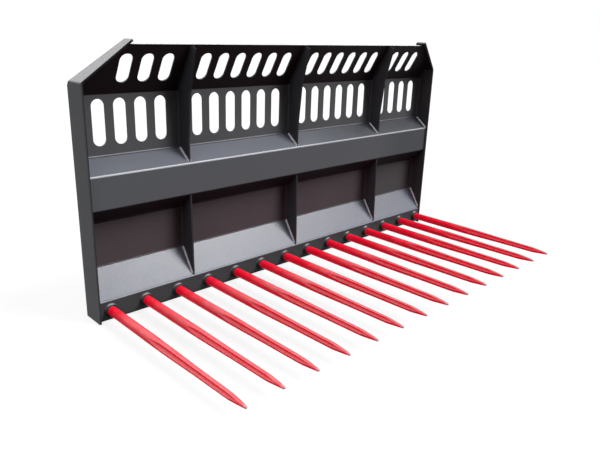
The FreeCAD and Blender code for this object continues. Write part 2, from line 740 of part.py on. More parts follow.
def hitch_plate(label, side):
    """Plate on the back: hook for the carrier bar above, pin lug below."""
    body = new_body(label)
    behind = "(Sizes.hook_depth - Sizes.hook_bar / 2)"
    crown = "(Sizes.hook_height + Sizes.hook_crown)"
    lug = "(Sizes.pin_depth + Sizes.lug_reach)"
    lug_high = "(Sizes.pin_height + Sizes.lug_reach)"
    lug_low = "(Sizes.pin_height - Sizes.lug_reach)"
    sketch = new_sketch(body, "Plate", "YZ_Plane")
    outline(sketch, (
        ("Sizes.tube_back", "Sizes.tube_low + Sizes.tube_corner"),
        ("Sizes.tube_back", TUBE_TOP),
        ("Sizes.panel_thick", TUBE_TOP),
        ("Sizes.panel_thick", crown),
        ("Sizes.hook_depth", crown),
        (HOOK_NOSE, "Sizes.hook_height + Sizes.hook_bar / 2"),
        (HOOK_NOSE, "Sizes.hook_height - Sizes.hook_drop"),
        (behind, "Sizes.hook_height - Sizes.hook_drop"),
        (behind, "Sizes.pin_height + Sizes.lug_spread"),
        (lug, lug_high),
        (lug, lug_low),
        (behind, "Sizes.pin_height - Sizes.lug_spread"),
        (behind, "Sizes.tube_low + Sizes.tube_corner"),
    ))
    base = pad(body, sketch, "Sizes.hitch_thick")
    corners = [(lug, lug_high), (lug, lug_low), ("Sizes.hook_depth", crown)]
    corners.append((HOOK_NOSE, "Sizes.hook_height + Sizes.hook_bar / 2"))
    round_edges(body, base, "X", corners, "Sizes.hitch_round")
    mouth = new_sketch(body, "Mouth", "YZ_Plane")
    low = "(Sizes.hook_height - Sizes.hook_drop - Sizes.hook_bar)"
    high = "(Sizes.hook_height + Sizes.hook_bar / 2)"
    slot(mouth, "Sizes.hook_depth", low, high, "Sizes.hook_bar")
    cut(body, mouth)
    hole = new_sketch(body, "PinHole", "YZ_Plane")
    circle(hole, "Sizes.pin_depth", "Sizes.pin_height", "Sizes.pin_size")
    cut(body, hole)
    body.setExpression("Placement.Base.x", f"{side} * Sizes.hitch_spacing / 2")
    return body


# The whole fork

def build():
    pieces = [end_plate("left_end_plate", -1), end_plate("right_end_plate", 1)]
    pieces += [upper_panel(), lower_panel(), beam(), tube()]
    pieces += ribs_and_shelves()
    for index in range(TINES):
        pieces.append(sleeve(index))
        pieces.append(tine(index))
    pieces.append(nuts())
    pieces.append(hitch_plate("left_hitch_plate", -1))
    pieces.append(hitch_plate("right_hitch_plate", 1))
    for piece in pieces:
        piece.setExpression("Placement.Base.y", PANEL_FACE)
    doc.recompute()
    return pieces


def check(pieces):
    """Stop if any object failed or any piece has no sound shape."""
    for item in doc.Objects:
        if "Invalid" in item.State or "Error" in item.State:
            raise RuntimeError(f"{item.Label} failed: {item.State}")
    for piece in pieces:
        if piece.Shape.isNull() or not piece.Shape.isValid():
            raise RuntimeError(f"{piece.Label} has no valid shape")


def export(pieces):
    os.makedirs("parts", exist_ok=True)
    for piece in pieces:
        piece.Shape.exportStep(f"parts/{piece.Label}.step")
        print(piece.Label, len(piece.Shape.Solids), round(piece.Shape.Volume))


doc.addObject("App::FeaturePython", "Probe")
fill_sheet()
all_pieces = build()
check(all_pieces)
export(all_pieces)
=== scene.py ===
# %% [markdown]
# A loader silage fork: a wide steel back frame with a row of red forged tines.
# The steelwork arrives ready made and in place, in metres, with the tines
# pointing to -Y. What is left to do is what makes it look real: paint, weld
# beads, slimmer tines, proper nuts, light and a camera. Only the tines and the
# nuts are made again. All other pieces keep the shape that they arrive with.

import math

import bmesh
import bpy
from mathutils import Matrix, Vector, noise


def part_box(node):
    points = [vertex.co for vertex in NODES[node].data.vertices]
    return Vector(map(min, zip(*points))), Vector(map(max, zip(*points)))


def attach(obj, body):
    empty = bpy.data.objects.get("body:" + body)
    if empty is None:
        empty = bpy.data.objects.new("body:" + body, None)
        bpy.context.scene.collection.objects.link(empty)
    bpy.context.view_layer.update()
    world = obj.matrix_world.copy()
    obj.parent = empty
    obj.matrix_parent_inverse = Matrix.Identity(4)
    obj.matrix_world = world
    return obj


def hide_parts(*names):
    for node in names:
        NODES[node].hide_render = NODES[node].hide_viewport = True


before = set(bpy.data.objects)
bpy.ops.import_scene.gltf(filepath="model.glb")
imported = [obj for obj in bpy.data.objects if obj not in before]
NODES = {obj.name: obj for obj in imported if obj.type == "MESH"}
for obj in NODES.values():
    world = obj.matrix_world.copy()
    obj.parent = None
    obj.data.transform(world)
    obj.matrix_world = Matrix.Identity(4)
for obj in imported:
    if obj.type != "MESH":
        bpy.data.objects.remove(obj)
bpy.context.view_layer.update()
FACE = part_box("lower_panel")[0].y
print("pieces:", len(NODES), " front face of the back panel at", round(FACE, 4))

# %% [markdown]
# The photograph was taken from the left, a little above the fork. Its frame is
# 600 by 450. A camera can be moved about until the picture looks right, but it
# never quite fits. So its place, heading, downward tilt and small roll were
# worked out from the corners of the steelwork, and here they only have to be
# turned into the three axes of a camera.

# %% Camera
PHOTO_WIDTH = 600
FOCAL = 595.3
SENSOR_WIDTH = 36
CAMERA_SPOT = Vector((-2.2460, FACE - 2.4077, 1.2939))
HEADING, TILT, ROLL = 0.77538, 0.32055, 0.03399

forward = Vector((
    math.sin(HEADING) * math.cos(TILT),
    math.cos(HEADING) * math.cos(TILT),
    -math.sin(TILT),
))
level_right = Vector((math.cos(HEADING), -math.sin(HEADING), 0))
level_up = level_right.cross(forward)
right = math.cos(ROLL) * level_right + math.sin(ROLL) * level_up
up = math.cos(ROLL) * level_up - math.sin(ROLL) * level_right

lens = bpy.data.cameras.new("photo_camera")
lens.sensor_fit = "HORIZONTAL"
lens.sensor_width = SENSOR_WIDTH
lens.lens = FOCAL / PHOTO_WIDTH * SENSOR_WIDTH
camera = bpy.data.objects.new("photo_camera", lens)
camera.matrix_world = Matrix((
    (right.x, up.x, -forward.x, CAMERA_SPOT.x),
    (right.y, up.y, -forward.y, CAMERA_SPOT.y),
    (right.z, up.z, -forward.z, CAMERA_SPOT.z),
    (0, 0, 0, 1),
))
bpy.context.scene.collection.objects.link(camera)
bpy.context.scene.camera = camera
print("lens:", round(lens.lens, 2), "mm")

# %% [markdown]
# Materials are small sums: a little noise here, a little more dust there. A
# wrapper round a node's output lets us write them as sums. It overloads the
# operators, also in their reflected forms, so that 1 - dust works as it reads.

# %% Shader sums
class Shade:
    """One output of a node. Sums of shades add Math nodes to the material."""

    def __init__(self, coat, socket):
        self.coat = coat
        self.socket = socket

    def __add__(self, other):
        return self.coat.calculate("ADD", self, other)

    def __sub__(self, other):
        return self.coat.calculate("SUBTRACT", self, other)

    def __rsub__(self, other):
        return self.coat.calculate("SUBTRACT", other, self)

    def __mul__(self, other):
        return self.coat.calculate("MULTIPLY", self, other)

    __radd__ = __add__
    __rmul__ = __mul__

    def at_least(self, other):
        return self.coat.calculate("MAXIMUM", self, other)

    def at_most(self, other):
        return self.coat.calculate("MINIMUM", self, other)

    def without_sign(self):
        return self.coat.calculate("ABSOLUTE", self)

    def clamped(self):
        """Held between 0 and 1, as the share of a mix has to be."""
        return self.at_least(0).at_most(1)


print("helpers of a shade:", *[name for name in vars(Shade) if not name.startswith("_")])

# %% [markdown]
# Every node, whatever its kind, is added by one method. It takes the node's
# type, then its settings, which come first because they can change the sockets,
# and then the values or links of the sockets. What is needed again and again
# has a short name of its own: where a point is, which way a face looks, cloudy
# noise, a mask with soft steps, a mix of two colours and a bump.

# %% Laying out a material
class Coat:
    """The nodes of a material, or of the world, while they are laid out."""

    def __init__(self, owner):
        self.owner = owner
        self.owner.use_nodes = True
        self.tree = self.owner.node_tree
        self.tree.nodes.clear()

    def add(self, kind, settings=None, sockets=None, output=0):
        """Add a node: settings first, then its sockets' values or links."""
        node = self.tree.nodes.new(kind)
        for name, value in (settings or {}).items():
            setattr(node, name, value)
        for name, value in (sockets or {}).items():
            if isinstance(value, Shade):
                self.tree.links.new(value.socket, node.inputs[name])
            else:
                node.inputs[name].default_value = value
        return Shade(self, node.outputs[output]) if node.outputs else None

    def calculate(self, operation, *values):
        return self.add("ShaderNodeMath", {"operation": operation}, dict(enumerate(values)))

    def place(self, axis):
        """How far along an axis of the fork a point is, in metres."""
        point = self.add("ShaderNodeTexCoord", output="Object")
        return self.add("ShaderNodeSeparateXYZ", sockets={"Vector": point}, output=axis)

    def facing(self, axis):
        """1 where a face looks along the axis, 0 where square to it, -1 where against it."""
        normal = self.add("ShaderNodeNewGeometry", output="Normal")
        return self.add("ShaderNodeSeparateXYZ", sockets={"Vector": normal}, output=axis)

    def noise(self, size, detail=3, stretch=(1, 1, 1)):
        """Cloudy noise whose patches are about size metres across."""
        point = self.add("ShaderNodeTexCoord", output="Object")
        point = self.add("ShaderNodeMapping", sockets={"Vector": point, "Scale": stretch})
        sockets = {"Vector": point, "Scale": 1 / size, "Detail": detail}
        return self.add("ShaderNodeTexNoise", sockets=sockets)

    def steps(self, shade, low, high):
        """Turn a shade into a soft mask that goes from 0 at low to 1 at high."""
        sockets = {"Value": shade, "From Min": low, "From Max": high}
        return self.add("ShaderNodeMapRange", {"interpolation_type": "SMOOTHSTEP"}, sockets)

    def mix(self, share, first, second):
        """Mix two colours."""
        return self.add("ShaderNodeMix", {"data_type": "RGBA"}, {0: share, 6: first, 7: second}, 2)

    def bump(self, height, depth):
        """A normal for a surface whose height differs by depth metres."""
        sockets = {"Height": height, "Distance": depth, "Strength": 1.0}
        return self.add("ShaderNodeBump", sockets=sockets)

    def finish(self, shader, kind="ShaderNodeOutputMaterial"):
        self.add(kind, sockets={"Surface": shader})
        return self.owner


print("helpers of a coat:", *[name for name in vars(Coat) if not name.startswith("_")])

# %% [markdown]
# Colours are written as they read off a screen, from 0 to 255, and made linear
# for the shader. The frame is a dark anthracite, but such a coat is never one
# colour. Here are the tones that lie over it, some of them painted light, the
# few places where the tone changes along a piece, and the painted highlights
# that lie along single lines. Each of these is a short function, so that one
# recipe can use them all.

# %% Tones of the frame
def rgb(red, green, blue):
    """A colour as the eye reads it off a screen, from 0 to 255, made linear."""
    parts = [value / 255 for value in (red, green, blue)]
    return (*[p / 12.92 if p <= 0.04045 else ((p + 0.055) / 1.055) ** 2.4 for p in parts], 1)


# Pale dust, which on steep upward faces also stands in for light.
DUST_AND_TOP_LIGHT = rgb(146, 148, 156)
# The tone of a painted highlight along one line.
HIGHLIGHT_PALE = rgb(150, 152, 158)
# A painted reflection of the sky on what looks up.
SKY_REFLECTION = rgb(84, 88, 101)
BACK_TONE = rgb(90, 91, 95)
PLATE_INSIDE, PLATE_OUTSIDE = 1.203, 1.207
HOOD_EDGE_HEIGHT = 1.19, 1.2


def beam_front(coat):
    """The beam's face, a little darker in the last bay on the right."""
    return coat.mix(coat.steps(coat.place("X"), 0.6, 1.0), rgb(85, 88, 92), rgb(73, 76, 80))


def beam_slope_reflection(coat):
    """The beam's sloping top: a painted reflection, pale at the left and dark at the right, where
    the hood is mirrored.
    """
    return coat.mix(coat.steps(coat.place("X"), -0.15, 0.65), rgb(84, 87, 97), rgb(46, 48, 54))


def lower_sheet(coat):
    """The lower panel: a warmer tone, but for the last bay."""
    return coat.mix(coat.steps(coat.place("X"), 0.6, 0.9), rgb(77, 71, 75), rgb(75, 74, 76))


def sheltered_inside(coat):
    """The upright part of an end plate: darker on the side that its bay shades."""
    outside = coat.steps(coat.place("X").without_sign(), PLATE_INSIDE, PLATE_OUTSIDE)
    return coat.mix(outside, rgb(48, 47, 50), rgb(72, 73, 76))


def fold_highlight(coat, upward):
    """Painted highlight on the rounded front fold of the beam, between its face and its sloping
    top.
    """
    return coat.steps(upward, 0.04, 0.16) * (1 - coat.steps(upward, 0.66, 0.76))


def crown_highlight(coat, upward):
    """Painted highlight on the highest line along a round piece."""
    return coat.steps(upward, 0.72, 0.92)


def hood_edge_highlight(coat, upward):
    """Painted highlight on the cut edge along the top of the hood."""
    return coat.steps(upward, 0.7, 0.8) * coat.steps(coat.place("Z"), *HOOD_EDGE_HEIGHT)


print("linear tones: dust", [round(part, 3) for part in DUST_AND_TOP_LIGHT[:3]],
      " sky", [round(part, 3) for part in SKY_REFLECTION[:3]])

# %% [markdown]
# Undersides are painted an almost black tone as painted shade, while what
# looks up or outwards keeps the lighter tone of the paint. What looks up takes
# a bluish painted reflection of the sky in soft patches, has a satin sheen,
# and on steep slopes pale dust lies in fine speckles, which there also stands
# in for light. Faces that look back are mixed to an even grey. A picture
# painted for each piece would have to be painted again after every change.
# But all of this follows from the way a face looks, so masks made from its
# normal drive it, in one recipe.

# %% Recipe of the frame paint
CLOUD, PATCH, DIMPLE, SPECK, GRAIN = 0.35, 0.09, 0.02, 0.009, 0.0022
SPRAY_ROUGHNESS = 0.00025
SPECKS_SHOW = 0.42, 0.66
SKY_REFLECTION_FACING = 0.2, 0.5
DUST_LIES = 0.5, 0.95
LOOKS_BACK = 0.4, 0.8
SHADE_FADES_OVER = 0.6


def frame_paint(name, underside_shade, dull, top=SKY_REFLECTION, gloss=(0.36, 0.48), underside_shade_until=-0.45, dust_and_light=0.3,
                shine=1.0, highlight_line=None, highlight_tone=HIGHLIGHT_PALE):
    """Sprayed paint: painted shade below, its tone in front, painted light and shade on top, and
    how it has aged.

    A tone is a colour, or a function that gives one which changes over the piece.
    """
    coat = Coat(bpy.data.materials.new(name))
    dull, top = [tone(coat) if callable(tone) else tone for tone in (dull, top)]
    cloud = coat.noise(CLOUD, 4)
    reflection_patches = 0.62 + 0.7 * coat.noise(PATCH, 5)
    specks = coat.steps(coat.noise(SPECK, 5), *SPECKS_SHOW)
    upward = coat.facing("Z")

    # Undersides get the near-black tone, as painted shade.
    out_of_shade = coat.steps(upward + 0.3 * (cloud - 0.5), underside_shade_until, underside_shade_until + SHADE_FADES_OVER)
    # Pale dust in speckles on steep upward faces, partly painted light there.
    settled_dust_and_light = coat.steps(upward, *DUST_LIES) * (0.1 + 0.9 * specks)
    colour = coat.mix(out_of_shade, underside_shade, dull)
    # What looks up gets its top tone: a painted reflection of the sky, on the ribs a painted
    # shade.
    colour = coat.mix((coat.steps(upward, *SKY_REFLECTION_FACING) * reflection_patches).clamped(), colour, top)
    colour = coat.mix(coat.steps(coat.facing("Y"), *LOOKS_BACK), colour, BACK_TONE)
    colour = coat.mix((settled_dust_and_light * dust_and_light).clamped(), colour, DUST_AND_TOP_LIGHT)
    # A painted highlight along one line, where a piece has one.
    if highlight_line:
        colour = coat.mix(highlight_line(coat, upward), colour, highlight_tone)

    wear = 0.6 * cloud + 0.4 * specks
    sheen = 0.15 * coat.steps(upward, -0.4, -0.05) + 0.85 * coat.steps(upward, 0.05, 0.5)
    skin_height = 0.6 * coat.noise(GRAIN, 2) + 0.4 * coat.noise(DIMPLE)
    shader = coat.add("ShaderNodeBsdfPrincipled", sockets={
        "Base Color": colour,
        "Roughness": gloss[0] + (gloss[1] - gloss[0]) * wear,
        "Specular IOR Level": 0.03,
        "Coat Weight": shine * sheen * (1 - 0.25 * specks),
        "Coat Roughness": 0.34,
        "Normal": coat.bump(skin_height, SPRAY_ROUGHNESS),
    })
    return coat.finish(shader)


ANTHRACITE = frame_paint("anthracite_paint", rgb(38, 32, 35), rgb(85, 86, 90))
print("mixed", ANTHRACITE.name, "from", len(ANTHRACITE.node_tree.nodes), "nodes")

# %% [markdown]
# The same recipe serves every piece of the frame. What differs is how much dust
# it has caught and its tones, some of which are painted shade. Some carry a
# painted highlight along one line: the beam at its fold, the hood at its top
# edge, and the sleeves, which were sprayed together with the frame, on their
# crowns.

# %% Finishes of the frame's pieces
END_PAINT = frame_paint(
    "end_plate_paint", rgb(30, 26, 28), sheltered_inside, rgb(36, 37, 41),
    underside_shade_until=-0.8, dust_and_light=0.62, shine=0.6)
# The ribs' top faces are painted near black, as painted shade.
RIB_PAINT = frame_paint(
    "rib_paint", rgb(28, 26, 30), rgb(56, 56, 61), rgb(24, 23, 26), dust_and_light=0.0, shine=0.1)
# The beam has a painted highlight along its front fold.
BEAM_PAINT = frame_paint(
    "beam_paint", rgb(34, 27, 31), beam_front, beam_slope_reflection,
    underside_shade_until=-0.7, dust_and_light=0.1, highlight_line=fold_highlight)
# The hood has a painted highlight along its top edge.
PANEL_PAINT = frame_paint(
    "slotted_panel_paint", rgb(34, 28, 31), rgb(88, 89, 92),
    highlight_line=hood_edge_highlight, highlight_tone=rgb(205, 206, 210))
# The lower panel is painted darker than the other sheets, as the shade under the beam.
SHADED_SHEET = frame_paint("shaded_sheet_paint", rgb(50, 45, 48), lower_sheet)
TUBE_PAINT = frame_paint(
    "bottom_tube_paint", rgb(34, 34, 36), rgb(62, 64, 66), underside_shade_until=-0.6)
# Each sleeve has a painted highlight along its crown.
SLEEVE_PAINT = frame_paint(
    "sleeve_paint", rgb(34, 32, 34), rgb(52, 50, 52), rgb(62, 58, 60),
    underside_shade_until=-0.2, shine=0.5, highlight_line=crown_highlight, highlight_tone=rgb(176, 168, 170))
print("paints so far:", *[m.name for m in bpy.data.materials if m.name.endswith("_paint")])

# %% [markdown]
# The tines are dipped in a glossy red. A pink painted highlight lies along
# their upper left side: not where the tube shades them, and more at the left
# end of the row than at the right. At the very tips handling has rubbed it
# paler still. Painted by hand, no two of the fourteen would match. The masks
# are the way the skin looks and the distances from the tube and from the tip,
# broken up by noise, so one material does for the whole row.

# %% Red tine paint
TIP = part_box("tine_01")[0].y
TUBE_FRONT, TUBE_BACK = [corner.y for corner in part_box("bottom_tube")]
HIGHLIGHT_ABOVE, HIGHLIGHT_LEFT = 0.89, 0.45
TINE_CLOUD, HIGHLIGHT_STARTS, HIGHLIGHT_FULL = 0.05, 0.1, 0.42
WEAR_STARTS, WEAR_FULL = 0.026, 0.006
DIP_RUNS, DIP_GRAIN, DIP_ROUGHNESS = 0.01, 0.003, 0.0003


def tine_paint():
    """Glossy red with a pink painted highlight, worn at the tip."""
    coat = Coat(bpy.data.materials.new("red_tine_paint"))
    cloud = coat.noise(TINE_CLOUD, 4)
    runs = coat.noise(DIP_RUNS, 3, (1, 0.15, 1))
    across, along = coat.place("X"), coat.place("Y")

    # A pink painted highlight on the side that looks up and to the left.
    toward_highlight = HIGHLIGHT_ABOVE * coat.facing("Z") - HIGHLIGHT_LEFT * coat.facing("X")
    highlight_side = coat.steps(toward_highlight, 0.5, 0.95)
    from_tube = TUBE_FRONT - along - 0.09 * across + 0.1 * (cloud - 0.5)
    unshaded = coat.steps(from_tube, HIGHLIGHT_STARTS, HIGHLIGHT_FULL)
    pink_highlight = highlight_side * unshaded * (0.78 + 0.7 * (cloud - 0.5))
    pink_highlight = pink_highlight * (1 - 0.55 * coat.steps(across, -0.4, 0.9))
    worn = coat.steps(along - TIP + 0.02 * (cloud - 0.5), WEAR_STARTS, WEAR_FULL)

    colour = coat.mix(coat.steps(cloud, 0.35, 0.7), rgb(238, 18, 46), rgb(246, 28, 58))
    colour = coat.mix(pink_highlight.clamped(), colour, rgb(232, 116, 120))
    colour = coat.mix(0.75 * worn, colour, rgb(206, 150, 158))
    shader = coat.add("ShaderNodeBsdfPrincipled", sockets={
        "Base Color": colour,
        "Roughness": 0.3 + 0.14 * runs + 0.2 * worn,
        "Specular IOR Level": 0.08,
        "Normal": coat.bump(0.5 * coat.noise(DIP_GRAIN, 2) + 0.5 * runs, DIP_ROUGHNESS),
    })
    return coat.finish(shader)


TINE_RED = tine_paint()
print("tine tips at", round(TIP, 4), " tube front at", round(TUBE_FRONT, 4))

# %% [markdown]
# The nuts behind the tube are zinc plated: a bright metal with duller clouds in
# it, where the plating has dimmed. One even grey would look like plastic, so
# noise mixes two tones and makes the duller one rougher.

# %% Zinc of the nuts
DIM_CLOUD, PLATING_GRAIN, PLATING_ROUGHNESS = 0.008, 0.0015, 0.0001


def zinc_plating():
    """Bright zinc that has dimmed in clouds."""
    coat = Coat(bpy.data.materials.new("zinc_plated"))
    cloud = coat.noise(DIM_CLOUD, 4)
    dimmed = coat.steps(cloud, 0.35, 0.65)
    shader = coat.add("ShaderNodeBsdfPrincipled", sockets={
        "Base Color": coat.mix(dimmed, rgb(176, 176, 168), rgb(150, 150, 146)),
        "Metallic": 1.0,
        "Roughness": 0.36 + 0.2 * (cloud - 0.5),
        "Normal": coat.bump(coat.noise(PLATING_GRAIN, 2), PLATING_ROUGHNESS),
    })
    return coat.finish(shader)


NUT_ZINC = zinc_plating()
print("mixed", NUT_ZINC.name)

# %% [markdown]
# Each piece of the steelwork now gets its finish by its name. The first line of
# the table whose word is in the name counts. Shelves and hitch plates match
# none of the words, so they get plain frame paint from the last line.

# %% Dress the steelwork
FINISHES = (
    ("tine_nuts", NUT_ZINC),
    ("tine_", TINE_RED),
    ("sleeve", SLEEVE_PAINT),
    ("end_plate", END_PAINT),
    ("rib", RIB_PAINT),
    ("mid_beam", BEAM_PAINT),
    ("slotted_panel", PANEL_PAINT),
    ("lower_panel", SHADED_SHEET),
    ("bottom_tube", TUBE_PAINT),
    ("", ANTHRACITE),
)
for name, node in NODES.items():
    finish = next(paint for word, paint in FINISHES if word in name)
    for material_slot in node.material_slots:
        material_slot.material = finish
print("dressed", len(NODES), "pieces")

# %% [markdown]
# Light. The fork in the photograph is lit softly from several sides. The key
# lamp stands at the front right, half way up, and a weaker one beside it hangs
# a little lower for the sloping shelves. One lamp hangs nearly overhead, one
# stands at the left for the outside of the end plate, and one behind, so that
# the back is no dark wall. Lamps close to the fork would light its near end
# more than its far one. Suns light both alike, and as they are wide, their
# shadows stay soft.

# %% Lamps
LAMP_DISTANCE = 8
LAMPS = (  # name, bearing to the right of -Y, height angle, angular size, power
    ("key_lamp", 42, 46, 30, 3.0),
    ("shelf_lamp", 46, 34, 20, 0.6),
    ("top_lamp", 0, 75, 30, 0.5),
    ("left_lamp", -80, 32, 36, 1.5),
    ("back_lamp", 180, 40, 60, 2.0),
)


def hang_lamp(name, bearing, height, softness, power):
    """A far, soft lamp that shines on the fork from a bearing and a height angle."""
    light = bpy.data.lights.new(name, "SUN")
    light.angle = math.radians(softness)
    light.energy = power
    turn, rise = math.radians(bearing), math.radians(height)
    level = math.cos(rise)
    way = Vector((math.sin(turn) * level, -math.cos(turn) * level, math.sin(rise)))
    lamp = bpy.data.objects.new(name, light)
    lamp.location = way * LAMP_DISTANCE
    lamp.rotation_mode = "QUATERNION"
    lamp.rotation_quaternion = way.to_track_quat("Z", "Y")
    bpy.context.scene.collection.objects.link(lamp)


for settings in LAMPS:
    hang_lamp(*settings)
print("lamps:", len(LAMPS), " sum of their powers:", round(sum(row[-1] for row in LAMPS), 2))

# %% [markdown]
# The world adds a low, even fill. Seen directly or mirrored it is white, which
# makes the pale studio without putting more light on the fork. Light Path tells
# the two apart: it knows what kind of ray is asking.

# %% White studio
AMBIENT = 0.05
WHITE = (1, 1, 1, 1)


def seen_rays(coat):
    """1 for what the camera sees itself, or in a mirror or through glass."""
    kinds = ("Is Camera Ray", "Is Glossy Ray", "Is Transmission Ray")
    camera_ray, glossy, through = [coat.add("ShaderNodeLightPath", output=kind) for kind in kinds]
    return camera_ray.at_least(glossy).at_least(through)


def studio_world():
    """A white studio all round that lights the fork at the ambient level only."""
    coat = Coat(bpy.data.worlds.new("studio"))
    level = AMBIENT + (1 - AMBIENT) * seen_rays(coat)
    white = coat.add("ShaderNodeBackground", sockets={"Color": WHITE, "Strength": level})
    return coat.finish(white, "ShaderNodeOutputWorld")


bpy.context.scene.world = studio_world()
print("world:", bpy.context.scene.world.name, " ambient level:", AMBIENT)

# %% [markdown]
# The fork stands on a pale floor. For the camera and for mirrors the floor is
# nearly white, mostly by its own colour, with part of it left to the lamps so
# that the shadow of the fork shows. Light that it throws back up is kept low,
# because the underside of the hood is almost black in the photograph.

# %% Pale floor
FLOOR_RADIUS, FLOOR_SIDES = 30, 96
FLOOR_SEEN, FLOOR_GIVES_BACK = (0.88, 0.88, 0.88, 1), (0.02, 0.02, 0.02, 1)
FLOOR_OWN_WHITE = 0.84


def pale_floor():
    """White where it is seen, dark to the light that it would throw back."""
    coat = Coat(bpy.data.materials.new("pale_floor"))
    seen = seen_rays(coat)
    colour = coat.mix(seen, FLOOR_GIVES_BACK, FLOOR_SEEN)
    matt = coat.add("ShaderNodeBsdfDiffuse", sockets={"Color": colour})
    white = coat.add("ShaderNodeEmission", sockets={"Color": WHITE, "Strength": 1.0})
    share = seen * FLOOR_OWN_WHITE
    return coat.finish(coat.add("ShaderNodeMixShader", sockets={0: share, 1: matt, 2: white}))


bpy.ops.mesh.primitive_circle_add(
    vertices=FLOOR_SIDES, radius=FLOOR_RADIUS, fill_type="NGON", location=(0, 0, 0))
floor = bpy.context.object
floor.name = "floor"
floor.data.materials.append(pale_floor())
print("floor:", 2 * FLOOR_RADIUS, "m across")

# %% [markdown]
# Every joint of the frame is welded. A fillet weld fills the corner between two
# sheets: a slightly rounded face with fine crescent ripples, because the welder
# moves on in small steps. A round wire laid in the corner would be quicker, but
# it has no toes and no ripples. So a bead is drawn as rings, three to a ripple.
# Each has its root in the corner, its toes on the two sheets and a round face,
# and swells and shrinks a little as the bead goes on.

# %% Rings of a weld bead
RIPPLE = 0.0055
RINGS_PER_RIPPLE = 3
FACE_POINTS = 5
ROOT_SINKS, TOE_SINKS = 0.0003, 0.0001
ROUNDNESS = 0.17
CRESCENT = 0.35
PLAIN_SIZE, RIPPLE_GROWS, UNEVEN = 0.93, 0.12, 0.22
UNEVEN_PER_METRE = 45


def bead_ring(root, along, side_a, side_b, out, leg, travel):
    """The points across the bead at one place: root, toe, rounded face, toe."""
    ripple = travel / RIPPLE % 1
    uneven = UNEVEN * noise.noise(root * UNEVEN_PER_METRE)
    swell = leg * (PLAIN_SIZE + RIPPLE_GROWS * ripple + uneven)
    points = [root - out * ROOT_SINKS]
    for k in range(FACE_POINTS):
        share = k / (FACE_POINTS - 1)
        crown = math.sin(math.pi * share)
        toe_line = root + swell * ((1 - share) * side_a + share * side_b)
        proud = ROUNDNESS * swell * crown - TOE_SINKS
        points.append(toe_line + out * proud + along * (CRESCENT * RIPPLE * crown))
    return points


def skin(bm, rings, closed):
    """Join rings of points to a tube, shut at its ends unless it closes on itself."""
    verts = [[bm.verts.new(point) for point in ring] for ring in rings]
    pairs = list(zip(verts, verts[1:]))
    if closed:
        pairs.append((verts[-1], verts[0]))
    for one, two in pairs:
        for k in range(len(one)):
            after = (k + 1) % len(one)
            bm.faces.new((one[k], one[after], two[after], two[k]))
    if not closed:
        bm.faces.new(verts[0][::-1])
        bm.faces.new(verts[-1])


print("rings of a bead are", round(RIPPLE / RINGS_PER_RIPPLE * 1000, 2), "mm apart")

# %% [markdown]
# Two kinds of bead are enough for the fork: a straight one along the corner of
# two sheets, which thins out at both ends, and one that runs round a sleeve and
# closes on itself.

# %% Straight and round beads
THIN_END, END_LENGTH = 0.08, 1.2


def straight_weld(bm, start, end, side_a, side_b, leg, out=None):
    """A bead along the corner from start to end, its toes on the two sides."""
    run = end - start
    along = run.normalized()
    side_a, side_b = side_a.normalized(), side_b.normalized()
    out = out or (side_a + side_b).normalized()
    steps = max(3, round(run.length / (RIPPLE / RINGS_PER_RIPPLE)))
    rings = []
    for i in range(steps + 1):
        travel = run.length * i / steps
        near_end = min(travel, run.length - travel) / (END_LENGTH * leg)
        size = leg * math.sqrt(max(THIN_END, min(1, near_end)))
        rings.append(bead_ring(start + along * travel, along, side_a, side_b, out, size, travel))
    skin(bm, rings, False)


def ring_weld(bm, centre, axis, radius, leg):
    """A bead round a sleeve, one toe on the sleeve and one on the face behind it."""
    across = axis.orthogonal().normalized()
    steps = round(2 * math.pi * radius / RIPPLE) * RINGS_PER_RIPPLE
    rings = []
    for i in range(steps):
        away = Matrix.Rotation(2 * math.pi * i / steps, 3, axis) @ across
        along = axis.cross(away)
        out = (away + axis).normalized()
        travel = RIPPLE * i / RINGS_PER_RIPPLE
        rings.append(bead_ring(centre + away * radius, along, away, axis, out, leg, travel))
    skin(bm, rings, True)


print("at its ends a bead is down to", round(math.sqrt(THIN_END), 2), "of its size")

# %% [markdown]
# Each group of beads becomes one piece. It is smooth, except where two faces
# meet at more than a given angle, rides with the steelwork and takes a finish.

# %% Turning a drawing into a piece
SOFT_CORNER = 50


def make_piece(name, bm, paint, smooth_up_to=SOFT_CORNER):
    """Turn a bmesh into a piece of the fork, in its finish."""
    bmesh.ops.recalc_face_normals(bm, faces=bm.faces)
    mesh = bpy.data.meshes.new(name)
    bm.to_mesh(mesh)
    bm.free()
    mesh.materials.append(paint)
    piece = bpy.data.objects.new(name, mesh)
    bpy.context.scene.collection.objects.link(piece)
    mesh.shade_smooth()
    mesh.set_sharp_from_angle(angle=math.radians(smooth_up_to))
    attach(piece, "root")
    print(name, len(mesh.polygons), "faces")
    return piece


def middle_of(name):
    """The middle of a node's box."""
    low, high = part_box(name)
    return (low + high) / 2


print("corners up to", SOFT_CORNER, "degrees are smoothed")

# %% [markdown]
# The beads are painted with the sheets. Where they run down the sides of the
# shelves they carry a painted highlight and read as fine pale lines. All
# others are as dull as the sheets they join.

# %% Paint of the welds
# The beads down the shelf sides carry a painted highlight.
WELD_HIGHLIGHT_PAINT = frame_paint(
    "weld_highlight_paint", rgb(140, 140, 146), rgb(180, 181, 187), rgb(172, 174, 182), (0.22, 0.4))
DULL_WELD = frame_paint(
    "dull_weld_paint", rgb(36, 33, 36), rgb(66, 66, 70), rgb(78, 80, 88), (0.24, 0.4), shine=0.4)
print("weld paints:", WELD_HIGHLIGHT_PAINT.name, DULL_WELD.name)

